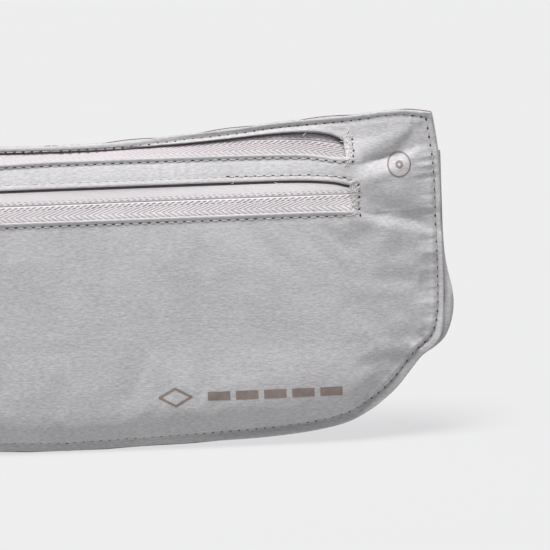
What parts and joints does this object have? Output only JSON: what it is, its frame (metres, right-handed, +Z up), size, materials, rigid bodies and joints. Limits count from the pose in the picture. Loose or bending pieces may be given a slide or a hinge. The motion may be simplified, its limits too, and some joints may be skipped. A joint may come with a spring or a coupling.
{
  "type": "money belt",
  "caption": "Slim zipped waist pouch with stacked zip pockets and a stowed webbing belt with a side-release buckle.",
  "frame": {"origin": "on the surface the pouch stands on, under the middle of its width and thickness", "axes": "+X across the pouch's width, -Y out of its zipped front, +Z up from the bottom edge"},
  "size_m": [0.297, 0.0338, 0.1263],
  "materials": {
    "face_fabric": "plain-weave nylon, slightly wrinkled",
    "back_fabric": "soft spacer mesh",
    "lining": "metallised shielding cloth",
    "zip_tape": "herringbone woven tape",
    "zip_coil": "nylon monofilament coil",
    "zip_metal": "satin plated die casting",
    "webbing": "flat woven webbing",
    "moulding": "injection-moulded acetal"
  },
  "bodies": {
    "pouch": {"front_panel": "face_fabric", "front_shield_lining": "lining", "pocket_divider": "lining", "back_shield_lining": "lining", "back_panel": "back_fabric", "lower_zip_tape_front": "zip_tape", "lower_zip_tape_rear": "zip_tape", "lower_zip_coil_front": "zip_coil", "lower_zip_coil_rear": "zip_coil", "lower_zip_top_stop_front": "zip_metal", "lower_zip_top_stop_rear": "zip_metal", "lower_zip_bottom_stop": "zip_metal", "upper_zip_tape_front": "zip_tape", "upper_zip_tape_rear": "zip_tape", "upper_zip_coil_front": "zip_coil", "upper_zip_coil_rear": "zip_coil", "upper_zip_top_stop_front": "zip_metal", "upper_zip_top_stop_rear": "zip_metal", "upper_zip_bottom_stop": "zip_metal", "belt_webbing_right": "webbing", "belt_webbing_left": "webbing", "buckle_socket": "moulding"},
    "lower_slider": {"lower_zip_slider": "zip_metal"},
    "lower_pull": {"lower_zip_pull": "zip_metal"},
    "upper_slider": {"upper_zip_slider": "zip_metal"},
    "upper_pull": {"upper_zip_pull": "zip_metal"},
    "plug": {"buckle_plug": "moulding"},
    "latch_lower": {"buckle_latch_lower": "moulding"},
    "latch_upper": {"buckle_latch_upper": "moulding"},
    "adjuster": {"belt_adjuster": "moulding"}
  },
  "joints": [
    {"name": "lower_zip_slide", "type": "slide", "parent": "pouch", "child": "lower_slider", "axis": [1, 0, 0], "range_m": [0, 0.2]},
    {"name": "lower_pull_flip", "type": "hinge", "parent": "lower_slider", "child": "lower_pull", "pos_m": [-0.102, -0.0151, 0.0954], "axis": [0, 0, -1], "range_deg": [0, 170]},
    {"name": "upper_zip_slide", "type": "slide", "parent": "pouch", "child": "upper_slider", "axis": [1, 0, 0], "range_m": [0, 0.2]},
    {"name": "upper_pull_flip", "type": "hinge", "parent": "upper_slider", "child": "upper_pull", "pos_m": [-0.102, -0.01071, 0.11359], "axis": [0, -0.7666, -0.6421], "range_deg": [0, 170]},
    {"name": "buckle_release", "type": "slide", "parent": "pouch", "child": "plug", "axis": [-1, 0, 0], "range_m": [0, 0.03], "deforming": ["belt_webbing_left", "buckle_latch_lower", "buckle_latch_upper"]},
    {"name": "latch_upper_squeeze", "type": "hinge", "parent": "plug", "child": "latch_upper", "pos_m": [-0.006, 0.0126, 0.105], "axis": [0, 1, 0], "range_deg": [0, 9], "stiffness_Nm_per_rad": 0.3},
    {"name": "latch_lower_squeeze", "type": "hinge", "parent": "plug", "child": "latch_lower", "pos_m": [-0.006, 0.0126, 0.089], "axis": [0, 1, 0], "range_deg": [-9, 0], "stiffness_Nm_per_rad": 0.3},
    {"name": "adjuster_slide", "type": "slide", "parent": "plug", "child": "adjuster", "axis": [-1, 0, 0], "range_m": [-0.02, 0.02]}
  ],
  "couplings": [
    {"joint": "latch_lower_squeeze", "follows": "latch_upper_squeeze", "ratio": -1}
  ]
}
